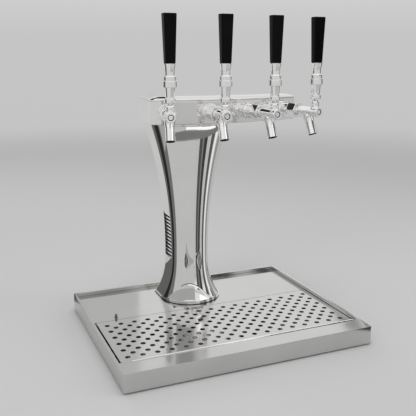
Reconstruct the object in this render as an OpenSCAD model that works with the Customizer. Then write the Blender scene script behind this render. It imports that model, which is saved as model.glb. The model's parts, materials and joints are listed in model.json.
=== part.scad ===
// Draft beer tower: a flared column on a drip tray, with a bow-front head that carries four taps.
// Origin at the middle of the tray's footprint, on the surface it stands on. +Z up, front towards -Y.

/* [Tray] */
// Width of the drip tray
tray_w = 525; // [490:1:600]
// Depth of the drip tray, front to back
tray_d = 424; // [410:1:480]
// Height of the tray pan without its feet
tray_h = 37; // [32:1:50]
// Outer corner radius of the tray
tray_corner_r = 4; // [2:0.5:8]
// Thickness of the pan's sheet
pan_t = 2; // [1:0.1:3]
// Width of the rim on the left, right and back
rim_w = 5; // [3.5:0.5:8]
// Depth of the flat lip along the front
lip_d = 45; // [30:1:50]
// Height of the rubber feet
foot_h = 3; // [2:0.5:6]
// Radius of a rubber foot
foot_pad_r = 14; // [8:1:18]
// Distance of the feet from the tray's edges
foot_inset = 28; // [24:1:45]

/* [Deck and grille] */
// How far the deck lies below the rim
deck_drop = 8; // [4:0.5:12]
// Thickness of the rear deck and the drip grille
deck_t = 2; // [1:0.1:3]
// Depth of the rear deck that carries the column
deck_d = 163.5; // [160:0.5:168]
// Finger gap between the grille and the left wall
finger_gap = 7.5; // [4:0.5:12]
// Diameter of a drain hole in the grille
hole_d = 10.5; // [4:0.5:11.5]
// Distance between holes along a row
hole_pitch = 29.4; // [24:0.1:34]
// Distance between rows of holes
row_pitch = 15.4; // [12:0.1:18]
// Greatest number of rows of holes
hole_rows = 11; // [5:1:13]
// Cut corner at the grille's front left, for a finger
notch_left = 16; // [6:1:20]
// Cut corner at the grille's front right
notch_right = 10; // [4:1:18]
// Radius of the bead along the grille's front edge
bead_r = 1.5; // [1.2:0.1:2.5]
// Width of the ledges under the deck and grille
ledge_w = 12; // [8:1:18]
// Thickness of the ledges
ledge_t = 2; // [1.5:0.1:3]
// Height of the lift pin on the deck
lift_pin_h = 8; // [4:0.5:12]
// Radius of the lift pin
lift_pin_r = 2.5; // [1.5:0.1:4]
// Radius of the threaded hole in the drain bush
drain_r = 9.3; // [6:0.1:12]
// Wall of the drain bush
drain_wall = 3.2; // [2:0.1:5]
// Radius of the screw holes that fix the pan to a counter
counter_hole_r = 3.3; // [2:0.1:5]
// Distance between the counter screws, left to right
counter_span_x = 400; // [300:1:420]
// Distance between the counter screws, front to back
counter_span_y = 140; // [100:1:150]

/* [Column] */
// Column centre, right of the tray's centre
column_x = -7; // [-24:1:10]
// Distance from the deck's back edge to the centre of the column's round front
column_back = 81; // [79:0.5:84]
// Height of the column shell, foot ring to head
column_h = 404.5; // [360:0.5:460]
// Half width of the column at its waist
waist_r = 43.5; // [42:0.1:50]
// Half width of the column at its foot
foot_r = 69; // [67:0.5:71]
// Half width of the column under the head
top_r = 90; // [86:0.5:92]
// Depth of the flat flanks behind the round front
flank_d = 48; // [47:0.5:54]
// Wall of the column shell
column_wall = 2; // [1:0.1:2.4]
// Height over which the foot narrows to the waist
foot_flare_h = 75; // [60:1:88]
// Height above the foot ring where the upper flare starts
top_flare_z = 110; // [105:1:140]
// How sharply the upper flare opens
top_flare_power = 2.05; // [1.8:0.05:3]
// Height of the foot ring
ring_h = 3; // [2:0.5:5]
// Width of the foot ring's ledge
ring_w = 5; // [4:0.5:6]
// Thickness of the gasket under the foot
gasket_t = 1.5; // [0.8:0.1:3]
// Number of louvre slots on each flank
louvre_count = 12; // [6:1:14]
// Distance between louvre slots
louvre_pitch = 8.4; // [7:0.1:9]
// Height of one louvre slot
louvre_h = 4.4; // [2:0.1:5]
// Length of one louvre slot
louvre_len = 42; // [30:1:42]
// Height of the lowest louvre slot above the foot ring
louvre_z = 91; // [88:1:110]
// Thickness of the base plate inside the foot
base_plate_t = 6; // [4:0.5:6.5]
// Radius of the hold-down bolts
bolt_r = 4; // [3:0.1:4.2]
// Side of the square mast inside the column
mast_w = 20; // [16:0.5:20]
// Wall of the mast
mast_wall = 2; // [1:0.1:3]
// Thickness of the plate between mast and head
mount_plate_t = 5; // [3:0.5:8]
// Radius of the insulation round the beer lines
sleeve_r = 25.5; // [25:0.1:26]
// Outer radius of a beer line
line_r = 4.75; // [3.5:0.05:5]

/* [Head] */
// Head centre, right of the column's centre
head_offset = 55.5; // [46:0.5:58]
// Radius of the bowed front panel
bow_r = 524; // [500:1:560]
// How far the front panel stands ahead of the centre of the column's round front
head_front = 102; // [100:0.5:105]
// Half length of the head at its front
head_half_front = 168.5; // [166:0.5:185]
// Half length of the head at its back
head_half_back = 150.5; // [148:0.5:160]
// Height of the head's box
head_h = 48; // [46:0.5:60]
// Wall of the head's box
head_wall = 2; // [1:0.1:2.5]
// Thickness of the lid's edge
lid_edge = 2; // [1:0.1:3]
// Height of the lid's raised middle above its edge
lid_crown = 6.5; // [5:0.5:10]
// Width of the slope round the lid's raised middle
lid_slope = 26; // [18:1:32]
// Depth of the lip that locates the lid
lid_lip = 8; // [6:0.5:8.5]

/* [Taps] */
// Angle between neighbouring taps
tap_step = 10; // [9.6:0.1:10.4]
// Reach of a tap from the panel to its front ring
tap_reach = 106; // [104:0.5:125]
// Radius of the flange on the panel
flange_r = 18; // [16.5:0.5:20]
// Thickness of the flange
flange_t = 5; // [3:0.5:6]
// Radius of the shank's collar
collar_r = 15; // [14.8:0.1:16]
// Length of the shank's collar
collar_len = 19; // [14:0.5:19.5]
// Radius of the shank's thread through the panel
shank_r = 11; // [9:0.1:12]
// Length of the shank inside the head
shank_tail = 50; // [46:0.5:52]
// Across-corners radius of the coupling nut
nut_r = 17.5; // [17.2:0.1:19]
// Radius of the tap's arm next to the nut
arm_r = 10.4; // [10:0.1:10.6]
// Radius of the front ring
front_ring_r = 10; // [9.4:0.1:12]
// Radius of the plunger in the front ring
plunger_r = 5.95; // [5.6:0.05:6.2]
// Outer radius of the spout
spout_r = 9.5; // [9:0.1:9.6]
// Wall of the spout
spout_wall = 1.5; // [0.8:0.1:2]
// Drop of the spout's mouth below the tap's axis
spout_drop = 47; // [35:0.5:54]
// Forward lean of the spout from upright
spout_lean = 22; // [10:1:24]
// Depth of the socket in the spout's mouth, for a spout plug
spout_socket = 24; // [12:1:26]

/* [Handles] */
// Height of the lever's pivot above the tap's axis
pivot_h = 18; // [17.6:0.1:19]
// Swing of the lever when the tap is opened
lever_swing = 25; // [15:1:26]
// Radius of the lever's collar
lever_collar_r = 10.8; // [10:0.1:13]
// Height of the lever's collar
lever_collar_h = 9; // [5:0.5:12]
// Height of the lever's cone above its collar
lever_cone_h = 20; // [14:0.5:28]
// Height of the chrome ferrule above the lever
ferrule_h = 44; // [36:0.5:56]
// Radius of the ferrule's widest band
ferrule_band_r = 13.5; // [12.8:0.1:16]
// Length of the black grip
grip_len = 90.5; // [70:0.5:150]
// Width of the grip at its top
grip_top_w = 25.5; // [22:0.5:28]
// Depth of the grip at its top
grip_top_d = 16.5; // [15:0.5:22]
// Width of the grip at its bottom
grip_bottom_w = 20; // [17:0.5:22]
// Depth of the grip at its bottom
grip_bottom_d = 13; // [12.5:0.5:17]

/* [Hidden] */
$fn = 96;

// Clearances: loose holes, pieces laid side by side, running fits, overlap inside one solid
slip = 0.25;
seat = 0.5;
run = 0.05;
eps = 0.01;

// Finishes
polished = [0.80, 0.80, 0.79];
satin = [0.68, 0.68, 0.67];
plain_steel = [0.55, 0.55, 0.54];
black_rubber = [0.06, 0.06, 0.06];
black_grip = [0.03, 0.03, 0.03];
foam = [0.16, 0.16, 0.17];
line_white = [0.85, 0.87, 0.86];

// Tray levels and edges
floor_z = foot_h + pan_t;
rim_z = foot_h + tray_h;
deck_top = rim_z - deck_drop;
deck_under = deck_top - deck_t;
well_x = tray_w / 2 - rim_w;
well_front = -tray_d / 2 + lip_d;
well_back = tray_d / 2 - rim_w;
deck_back = well_back - 1;
deck_front = deck_back - deck_d;
deck_side = well_x - 1;
grille_front = well_front + 1.5;
grille_back = deck_front - 1;
grille_d = grille_back - grille_front;
grille_left = -well_x + finger_gap;
grille_right = well_x - 1.5;
grille_w = grille_right - grille_left;
bar_d = 16;
side_margin = 10;
back_margin = 22;
front_margin = 14;
bead_back = 0.2;
bead_sink = 0.4;
row_gaps = floor((grille_w - 2 * side_margin - hole_d) / hole_pitch);
rows = min(hole_rows, floor((grille_d - back_margin - front_margin) / row_pitch) + 1);
first_hole_x = grille_left + (grille_w - row_gaps * hole_pitch) / 2;
last_row_y = grille_back - back_margin;
foot_x = tray_w / 2 - foot_inset;
back_foot_y = tray_d / 2 - foot_inset;
front_foot_y = well_front + foot_inset;
drain_back = 12;
drain_y = (well_front + grille_back) / 2 + drain_back;
drain_low = 0.6;
drain_flange_w = 8;
drain_flange_r = drain_r + drain_wall + drain_flange_w;
drain_flange_t = 2;
counter_ahead = 3;
counter_y = (well_front + grille_back) / 2 - counter_ahead;
pin_from_side = 54;
pin_from_front = 12;
lift_pin = [-well_x + pin_from_side, deck_front + pin_from_front];
pin_lip = 1.2;

// Column levels and the steps of its two flares
column_y = deck_back - column_back;
gasket_top = deck_top + gasket_t;
ring_top = gasket_top + ring_h;
column_top = ring_top + column_h;
plate_top = gasket_top + base_plate_t;
back_y = column_y + flank_d;
foot_lap = 0.5;
base_gap = 2.5;
flare_steps = 18;
trumpet_steps = 26;
louvre_margin = 7;
louvre_past = 3;

// Insulated bundle of lines, hold-down bolts and mast
bundle_right = 10;
bundle_behind = 16;
bundle = [column_x + bundle_right, column_y + bundle_behind];
bundle_hole_r = sleeve_r + seat;
grommet_wall = 4;
grommet_hole_r = bundle_hole_r + grommet_wall;
grommet_lip = 1.5;
lines_low = foot_h - grommet_lip;
line_shares = [[-0.51, -0.08], [0.57, -0.21], [0.235, 0.06], [-0.08, 0.59]];
line_spots = [for (share = line_shares) bundle + sleeve_r * share];
line_bend = 24;
sleeve_share = 0.88;
line_sides = 12;
bend_steps = 6;
front_bolt_x = 40;
front_bolt_y = 14;
back_bolt_x = 50;
back_bolt_y = 34;
bolt_spots = [
    for (side = [-1, 1]) [column_x + side * front_bolt_x, column_y - front_bolt_y],
    for (side = [-1, 1]) [column_x + side * back_bolt_x, column_y + back_bolt_y]
];
bolt_play = 0.4;
bolt_hole_r = bolt_r + bolt_play;
post_wall = 4.5;
post_r = bolt_r + post_wall;
post_floor = 4;
mast_ahead = 24;
mast_spot = [column_x, column_y - mast_ahead];

// Head levels and the centre of its bow
head_x = column_x + head_offset;
head_front_y = column_y - head_front;
bow_y = head_front_y + bow_r;
head_corner_y = bow_y - sqrt(bow_r * bow_r - head_half_front * head_half_front);
head_floor = column_top + head_wall;
head_top = column_top + head_h;
lid_top = head_top + lid_edge;
lip_inset = head_wall + slip;
passage = [48, 46];
tap_z = column_top + head_h / 2;
mount_screw_r = 3;
mount_span_x = 68;
mount_front_y = 42;
mount_back_y = 12;
mount_screws = [for (side = [-0.5, 0.5], dy = [mount_front_y, mount_back_y])
    [column_x + side * mount_span_x, column_y - dy]];
lid_screw_r = 2;
lid_screw_z = head_top - lid_lip / 2;
lid_screw_xs = [for (k = [-3, -1, 1, 3]) head_x + k * head_half_back / 4];

// Tap stations, as distances ahead of the panel
tail_bore_r = 3.2;
shank_thread = 30;
thread_start = flange_t + collar_len;
thread_len = 14;
thread_end = thread_start + thread_len;
thread_step = 2;
thread_r = collar_r - thread_step;
counterbore_r = 8;
counterbore_depth = 12;
washer_t = 2;
washer_end = thread_end + washer_t;
body_flange_t = 3;
body_flange_end = washer_end + body_flange_t;
body_flange_r = thread_r - 0.3;
nut_start = thread_start + 0.6;
nut_lip = body_flange_end + 0.2;
nut_lip_t = 4;
nut_end = nut_lip + nut_lip_t;
nut_chamfer = 1.6;
locknut_w = 5.5;
locknut_r = shank_r + locknut_w;
locknut_t = 8;
locknut_gap = 0.4;
ring_len = 8;
lever_back = 12;
lever_at = tap_reach - lever_back;
mouth_back = 4;
mouth_at = lever_at - mouth_back;
spout_len = spout_drop / cos(spout_lean);
channel_step = 1.4;
channel_r = spout_r - spout_wall - channel_step;
arm_len = 11;
arm_straight = body_flange_end + arm_len;
arm_end_r = 8.8;
seat_len = 5;
chamber_start = washer_end + 2 * seat_len;
chamber_r = 7;
chamber_end = lever_at - 2;
seat_at = washer_end + seat_len;
seat_bore_r = 5.2;
guide_r = plunger_r + run;

// Lever and plunger
neck_r = 8;
eye_r = 4.5;
blade_t = 5;
slot_w = blade_t + 0.6;
stem_down = 2;
stem_up = 3;
finger_r = 3;
finger_arm = 12.5;
finger_back = finger_arm * sin(lever_swing) + finger_r + seat;
groove_half = finger_r + 0.7;
pin_r = 1.5;
pin_half = neck_r - 0.5;
plunger_neck_r = 2.2;
plunger_rod_r = 2.4;
seal_r = 6.8;

// Handle levels above the tap's axis
collar_low = pivot_h + neck_r + seat;
collar_high = collar_low + lever_collar_h;
cone_high = collar_high + lever_cone_h;
ferrule_high = cone_high + ferrule_h;
cone_low_r = 8.75;
cone_high_r = 9.9;
stud_r = 4.7;
stud_len = 14;
band_h = 12.6;
ring_low = 13.2;
ring_high = 21.1;
ring_step = 1.2;
ferrule_ring_r = ferrule_band_r - ring_step;
ferrule_neck_r = 9;
ferrule_top_r = 11.7;
spigot_r = 5;
spigot_len = 18;
bevel = 0.6;
grip_bevel = 3;

// Half width of the column at a height above the foot ring
function column_r(h) =
    h < top_flare_z
        ? waist_r + (foot_r - waist_r) * pow(max(0, 1 - h / foot_flare_h), 2)
        : waist_r + (top_r - waist_r) * pow((h - top_flare_z) / (column_h - top_flare_z), top_flare_power);

column_heights = concat(
    [for (i = [0 : flare_steps]) foot_flare_h * i / flare_steps],
    [for (i = [0 : trumpet_steps]) top_flare_z + (column_h - top_flare_z) * i / trumpet_steps]
);

function tap_angle(i) = (i - 2.5) * tap_step;
function tap_forward(i) = [sin(tap_angle(i)), -cos(tap_angle(i)), 0];
function tap_point(i, d) = [head_x, bow_y, tap_z] + (bow_r + d) * tap_forward(i);

// Round bend of a route a-b-c about the corner b
function unit(v) = v / norm(v);
function bend(a, b, c) =
    let (u = unit(a - b), w = unit(c - b), half = acos(u * w) / 2)
    let (centre = b + unit(u + w) * line_bend / sin(half), start = b + u * line_bend / tan(half))
    let (side = unit(start - centre), sweep = 180 - 2 * half)
    [for (k = [0 : bend_steps])
        centre + line_bend * (side * cos(sweep * k / bend_steps) - u * sin(sweep * k / bend_steps))];

// Point on a tap's axis level with a line's place in the bundle
function line_corner(i) =
    [head_x, bow_y, tap_z] + (bow_y - line_spots[i - 1].y) / cos(tap_angle(i)) * tap_forward(i);

function line_path(i) =
    let (spot = line_spots[i - 1], low = [spot.x, spot.y, lines_low], turn = [spot.x, spot.y, tap_z])
    let (corner = line_corner(i), tail = tap_point(i, -shank_tail))
    i == 2
        ? concat([low], bend(low, turn, tail), [tail])
        : concat([low], bend(low, turn, corner), bend(turn, corner, tail), [tail]);

module sweep(path, r, sides) {
    n = len(path);
    tangents = [for (k = [0 : n - 1]) unit(path[min(k + 1, n - 1)] - path[max(k - 1, 0)])];
    across = [for (t = tangents) unit(cross(t, [0.31, 0.89, 0.33]))];
    points = [
        for (k = [0 : n - 1], j = [0 : sides - 1])
            let (turn = 360 * j / sides, up = cross(across[k], tangents[k]))
            path[k] + r * (across[k] * cos(turn) + up * sin(turn))
    ];
    walls = [
        for (k = [0 : n - 2], j = [0 : sides - 1], half = [0, 1])
            let (a = k * sides + j, b = k * sides + (j + 1) % sides)
            half == 0 ? [a, b, b + sides] : [a, b + sides, a + sides]
    ];
    first_cap = [[for (j = [sides - 1 : -1 : 0]) j]];
    last_cap = [[for (j = [0 : sides - 1]) (n - 1) * sides + j]];
    polyhedron(points, concat(walls, first_cap, last_cap));
}

// Plan shapes

module round_rect(w, d, r) {
    square([w - 2 * r, d], center = true);
    square([w, d - 2 * r], center = true);
    for (sx = [-1, 1], sy = [-1, 1])
        translate([sx * (w / 2 - r), sy * (d / 2 - r)]) circle(r);
}

// Round front and flat flanks, about the centre of the round front
module d_plan(r, depth) {
    intersection() {
        circle(r);
        translate([-r - 1, -r - 1]) square([2 * r + 2, r + 1]);
    }
    translate([-r, 0]) square([2 * r, depth]);
}

module foot_plan(inset) {
    translate([column_x, column_y]) d_plan(foot_r + foot_lap - inset, flank_d + foot_lap - inset);
}

module head_plan(inset) {
    front = head_half_front - inset;
    back = head_half_back - inset;
    intersection() {
        translate([head_x, bow_y]) circle(bow_r - inset, $fn = 360);
        translate([head_x, 0])
            polygon([[-front, head_corner_y], [-front, head_front_y - 1], [front, head_front_y - 1],
                [front, head_corner_y], [back, back_y - inset], [-back, back_y - inset]]);
    }
}

module at_spots(spots, z) {
    for (p = spots) translate([p.x, p.y, z]) children();
}

module bundle_hole() {
    translate(bundle) circle(bundle_hole_r);
}

module bolt_holes() {
    for (p = bolt_spots) translate(p) circle(bolt_hole_r);
}

// Tray pieces

module tray_pan() {
    color(satin) difference() {
        translate([0, 0, foot_h]) linear_extrude(tray_h) round_rect(tray_w, tray_d, tray_corner_r);
        translate([-well_x, well_front, floor_z]) cube([2 * well_x, well_back - well_front, tray_h]);
        translate([-tray_w / 2 + pan_t, -tray_d / 2 + pan_t, foot_h - 1])
            cube([tray_w - 2 * pan_t, lip_d - 2 * pan_t, tray_h + 1 - pan_t]);
        translate([0, drain_y, 0]) cylinder(r = drain_r + drain_wall + slip, h = floor_z + 1);
        translate([bundle.x, bundle.y, 0]) cylinder(r = grommet_hole_r, h = floor_z + 1);
        for (sx = [-0.5, 0.5], sy = [-0.5, 0.5])
            translate([sx * counter_span_x, counter_y + sy * counter_span_y, 0])
                cylinder(r = counter_hole_r, h = floor_z + 1);
    }
}

module tray_feet() {
    spots = [for (sx = [-1, 1], y = [front_foot_y, back_foot_y]) [sx * foot_x, y]];
    color(black_rubber) at_spots(spots, 0) cylinder(r = foot_pad_r, h = foot_h);
}

module side_ledge(side) {
    low = deck_under - ledge_w;
    color(plain_steel) translate([side * well_x, well_back, 0]) rotate([90, 0, 0])
        linear_extrude(well_back - deck_front - bar_d / 2 - 1)
            polygon([[0, deck_under], [0, low], [-side * ledge_t, low],
                [-side * ledge_t, deck_under - ledge_t], [-side * ledge_w, deck_under - ledge_t],
                [-side * ledge_w, deck_under]]);
}

module ledge_left() {
    side_ledge(-1);
}

module ledge_right() {
    side_ledge(1);
}

module ledge_front() {
    color(plain_steel) translate([-well_x, well_front, 0]) {
        translate([0, 0, deck_under - ledge_t]) cube([2 * well_x, ledge_w, ledge_t]);
        translate([0, 0, deck_under - ledge_w]) cube([2 * well_x, ledge_t, ledge_w]);
    }
}

module cross_bar() {
    middle = (grille_back + deck_front) / 2;
    color(plain_steel) {
        translate([-well_x, middle - bar_d / 2, deck_under - ledge_t]) cube([2 * well_x, bar_d, ledge_t]);
        translate([-well_x, middle - ledge_t / 2, floor_z])
            cube([2 * well_x, ledge_t, deck_under - floor_z]);
    }
}

module rear_deck() {
    color(satin) translate([0, 0, deck_under]) linear_extrude(deck_t) difference() {
        translate([-deck_side, deck_front]) square([2 * deck_side, deck_d]);
        bundle_hole();
        bolt_holes();
        translate(lift_pin) circle(lift_pin_r + run);
    }
}

module deck_lift_pin() {
    color(plain_steel) translate([lift_pin.x, lift_pin.y, 0]) {
        translate([0, 0, deck_under - pin_lip]) cylinder(r = lift_pin_r, h = deck_t + pin_lip + lift_pin_h);
        translate([0, 0, deck_top]) cylinder(r = lift_pin_r + pin_lip, h = pin_lip);
        translate([0, 0, deck_under - pin_lip]) cylinder(r = lift_pin_r + pin_lip, h = pin_lip);
    }
}

module drip_grille() {
    color(satin) {
        translate([0, 0, deck_under]) linear_extrude(deck_t) difference() {
            polygon([[grille_left + notch_left, grille_front], [grille_right - notch_right, grille_front],
                [grille_right, grille_front + notch_right], [grille_right, grille_back],
                [grille_left, grille_back], [grille_left, grille_front + notch_left]]);
            for (row = [0 : rows - 1])
                for (k = [0 : row_gaps - row % 2])
                    let (along = k + (row % 2) / 2)
                    translate([first_hole_x + along * hole_pitch, last_row_y - row * row_pitch])
                        circle(hole_d / 2);
        }
        translate([grille_left + notch_left, grille_front + bead_r + bead_back, deck_top - bead_sink])
            rotate([0, 90, 0]) cylinder(r = bead_r, h = grille_w - notch_left - notch_right);
    }
}

module drain_bush() {
    color(plain_steel) translate([0, drain_y, 0]) difference() {
        union() {
            translate([0, 0, drain_low]) cylinder(r = drain_r + drain_wall, h = floor_z + 1 - drain_low);
            translate([0, 0, floor_z]) cylinder(r = drain_flange_r, h = drain_flange_t);
        }
        cylinder(r = drain_r, h = floor_z + drain_flange_t + 1);
    }
}

module line_grommet() {
    inner = sleeve_r + slip;
    waist = grommet_hole_r - slip;
    outer = grommet_hole_r + 3;
    top = 2 * grommet_lip + pan_t;
    color(black_rubber) translate([bundle.x, bundle.y, lines_low]) rotate_extrude()
        polygon([[inner, 0], [outer, 0], [outer, grommet_lip], [waist, grommet_lip],
            [waist, grommet_lip + pan_t], [outer, grommet_lip + pan_t], [outer, top], [inner, top]]);
}

// Column pieces

module foot_gasket() {
    color(black_rubber) translate([0, 0, deck_top]) linear_extrude(gasket_t) difference() {
        foot_plan(0);
        bundle_hole();
        bolt_holes();
    }
}

module foot_ring() {
    color(polished) translate([0, 0, gasket_top]) linear_extrude(ring_h) difference() {
        foot_plan(0);
        foot_plan(ring_w);
    }
}

module base_plate() {
    color(plain_steel) translate([0, 0, gasket_top]) linear_extrude(base_plate_t) difference() {
        foot_plan(ring_w + base_gap);
        bundle_hole();
        bolt_holes();
    }
}

module pedestal_posts() {
    color(plain_steel) at_spots(bolt_spots, floor_z) difference() {
        cylinder(r = post_r, h = deck_under - floor_z);
        translate([0, 0, post_floor]) cylinder(r = bolt_r + run, h = deck_under);
    }
}

module column_bolts() {
    low = floor_z + post_floor + 2;
    color(plain_steel) {
        at_spots(bolt_spots, low) cylinder(r = bolt_r, h = plate_top - low + eps);
        at_spots(bolt_spots, plate_top) cylinder(r = 1.8 * bolt_r, h = 1.4 * bolt_r, $fn = 6);
    }
}

// Solid of the column, drawn in by a wall and reaching past its ends
module column_solid(inset, past) {
    side = concat(
        [[column_r(0) - inset, -past]],
        [for (h = column_heights) [column_r(h) - inset, h]],
        [[top_r - inset, column_h + past]]
    );
    other = [for (k = [len(side) - 1 : -1 : 0]) [-side[k].x, side[k].y]];
    translate([column_x, column_y, ring_top]) {
        rotate([0, 0, 180]) rotate_extrude(angle = 180)
            polygon(concat([[0, -past]], side, [[0, column_h + past]]));
        translate([0, flank_d - inset, 0]) rotate([90, 0, 0]) linear_extrude(flank_d - inset)
            polygon(concat(side, other));
    }
}

module louvre_slot(side, k) {
    outer = column_r(louvre_z + louvre_count * louvre_pitch) + louvre_past;
    inner = waist_r - column_wall - louvre_past;
    left = column_x + (side < 0 ? -outer : inner);
    translate([left, back_y - louvre_len - louvre_margin, ring_top + louvre_z + k * louvre_pitch])
        cube([outer - inner, louvre_len, louvre_h]);
}

module column_shell() {
    color(polished) difference() {
        column_solid(0, 0);
        column_solid(column_wall, 1);
        for (side = [-1, 1], k = [0 : louvre_count - 1]) louvre_slot(side, k);
    }
}

module mast() {
    color(plain_steel) translate([mast_spot.x, mast_spot.y, plate_top])
        linear_extrude(column_top - mount_plate_t - plate_top) difference() {
            square(mast_w, center = true);
            square(mast_w - 2 * mast_wall, center = true);
        }
}

module head_mount_plate() {
    inset = column_wall + seat;
    wide = column_r(column_h - mount_plate_t) - inset;
    color(plain_steel) translate([0, 0, column_top - mount_plate_t]) linear_extrude(mount_plate_t)
        difference() {
            translate([column_x, column_y]) d_plan(wide, flank_d - inset);
            passage_hole();
            for (p = mount_screws) translate(p) circle(mount_screw_r + run);
        }
}

module passage_hole() {
    translate([bundle.x - passage.x / 2, column_y - 5]) square(passage);
}

module head_screws() {
    low = column_top - mount_plate_t;
    color(plain_steel) {
        at_spots(mount_screws, low) cylinder(r = mount_screw_r, h = head_floor - low + eps);
        at_spots(mount_screws, head_floor) cylinder(r = 1.7 * mount_screw_r, h = mount_screw_r);
    }
}

module line_insulation() {
    high = ring_top + sleeve_share * column_h;
    color(foam) translate([0, 0, lines_low]) linear_extrude(high - lines_low) difference() {
        translate(bundle) circle(sleeve_r);
        for (p = line_spots) translate(p) circle(line_r + slip);
    }
}

module beer_line(i) {
    color(line_white) sweep(line_path(i), line_r, line_sides);
}

// Head pieces

module lid_screw_holes(r) {
    for (x = lid_screw_xs)
        translate([x, back_y + 1, lid_screw_z]) rotate([90, 0, 0]) cylinder(r = r, h = 3 * head_wall + 2);
}

module head_shell() {
    color(polished) difference() {
        translate([0, 0, column_top]) linear_extrude(head_h) head_plan(0);
        translate([0, 0, head_floor]) linear_extrude(head_h) head_plan(head_wall);
        translate([0, 0, column_top - 1]) linear_extrude(head_wall + 2) passage_hole();
        at_spots(mount_screws, column_top - 1) cylinder(r = mount_screw_r + slip, h = head_wall + 2);
        for (i = [1 : 4]) at_tap(i) rod(shank_r + slip, -4 * head_wall, 4 * head_wall);
        lid_screw_holes(lid_screw_r + slip);
    }
}

// Crowned form of the lid, drawn in by a skin
module lid_form(inset) {
    rise = lid_crown - inset;
    hull() {
        translate([0, 0, lid_top - eps]) linear_extrude(eps) head_plan(inset);
        translate([0, 0, lid_top + 0.72 * rise]) linear_extrude(eps) head_plan(inset + 0.42 * lid_slope);
        translate([0, 0, lid_top + rise]) linear_extrude(eps) head_plan(inset + lid_slope);
    }
}

module head_lid() {
    color(polished) difference() {
        union() {
            lid_form(0);
            translate([0, 0, head_top]) linear_extrude(lid_edge - eps / 2) head_plan(0);
            translate([0, 0, head_top - lid_lip]) linear_extrude(lid_lip + eps) head_plan(lip_inset);
        }
        lid_form(lip_inset + head_wall);
        translate([0, 0, head_top - lid_lip - 1]) linear_extrude(lid_lip + lid_edge + 1)
            head_plan(lip_inset + head_wall);
        lid_screw_holes(lid_screw_r + run);
    }
}

module lid_screws() {
    color(plain_steel) for (x = lid_screw_xs)
        translate([x, back_y, lid_screw_z]) rotate([90, 0, 0]) {
            translate([0, 0, -eps]) cylinder(r = lid_screw_r, h = 3 * head_wall);
            translate([0, 0, -lid_screw_r]) cylinder(r = 2 * lid_screw_r, h = lid_screw_r);
        }
}

// Tap pieces, in a tap's own frame: front towards -Y, origin on the panel at the tap's axis

module at_tap(i) {
    translate(tap_point(i, 0)) rotate([0, 0, tap_angle(i)]) children();
}

module rod(r, from, to) {
    translate([0, -from, 0]) rotate([90, 0, 0]) cylinder(r = r, h = to - from);
}

module hex_rod(r, from, to) {
    translate([0, -from, 0]) rotate([90, 0, 0]) cylinder(r = r, h = to - from, $fn = 6);
}

// Turned form about the tap's axis, from points of radius and distance ahead
module turned(points) {
    rotate([90, 0, 0]) rotate_extrude() polygon(points);
}

// Side view of the lever's plane about its pivot, forward to the left
module side_view(thickness) {
    translate([0, -lever_at, pivot_h]) rotate([90, 0, 90])
        translate([0, 0, -thickness / 2]) linear_extrude(thickness) children();
}

module tap_shank(i) {
    color(polished) at_tap(i) turned([
        [tail_bore_r, -shank_tail], [line_r, -shank_tail], [line_r, -shank_thread],
        [shank_r, -shank_thread], [shank_r, 0], [flange_r, 0], [flange_r, flange_t - bevel],
        [flange_r - bevel, flange_t],
        [collar_r, flange_t], [collar_r, thread_start], [thread_r, thread_start], [thread_r, thread_end],
        [counterbore_r, thread_end], [counterbore_r, thread_end - counterbore_depth],
        [tail_bore_r, thread_end - counterbore_depth]
    ]);
}

module shank_locknuts() {
    front = -head_wall - locknut_gap;
    color(plain_steel) for (i = [1 : 4]) at_tap(i) difference() {
        hex_rod(locknut_r, front - locknut_t, front);
        rod(shank_r + run, front - locknut_t - 1, front + 1);
    }
}

module coupling_washers() {
    color(black_rubber) for (i = [1 : 4]) at_tap(i) difference() {
        rod(body_flange_r, thread_end, washer_end);
        rod(counterbore_r + slip, thread_end - 1, washer_end + 1);
    }
}

module coupling_nut(i) {
    flat = nut_r * cos(30);
    color(polished) at_tap(i) difference() {
        intersection() {
            hex_rod(nut_r, nut_start, nut_end);
            turned([[0, nut_start], [flat, nut_start], [nut_r, nut_start + nut_chamfer],
                [nut_r, nut_end - nut_chamfer], [flat, nut_end], [0, nut_end]]);
        }
        rod(thread_r + run, nut_start - 1, nut_lip);
        rod(arm_r + slip, nut_lip - 1, nut_end + 1);
    }
}

// Rod along the spout's axis, measured up from its mouth
module spout_rod(r, from, to) {
    translate([0, -mouth_at, -spout_drop]) rotate([-spout_lean, 0, 0]) translate([0, 0, from])
        cylinder(r = r, h = to - from);
}

module lever_slot() {
    stem = stem_down + seat;
    top = neck_r + 3;
    side_view(slot_w) {
        circle(eye_r + seat);
        polygon([[-finger_r - seat, -pivot_h], [finger_back, -pivot_h], [finger_back, 1 - finger_arm],
            [finger_back - 1, 3.5 - finger_arm], [stem, 0], [-stem, 0],
            [-finger_r - seat, finger_r - finger_arm]]);
        polygon([[stem_up + seat, 0], [stem_up + seat, top],
            [-stem_up - 1 - top * tan(lever_swing), top], [-stem_up - 1, 0]]);
    }
}

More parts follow.
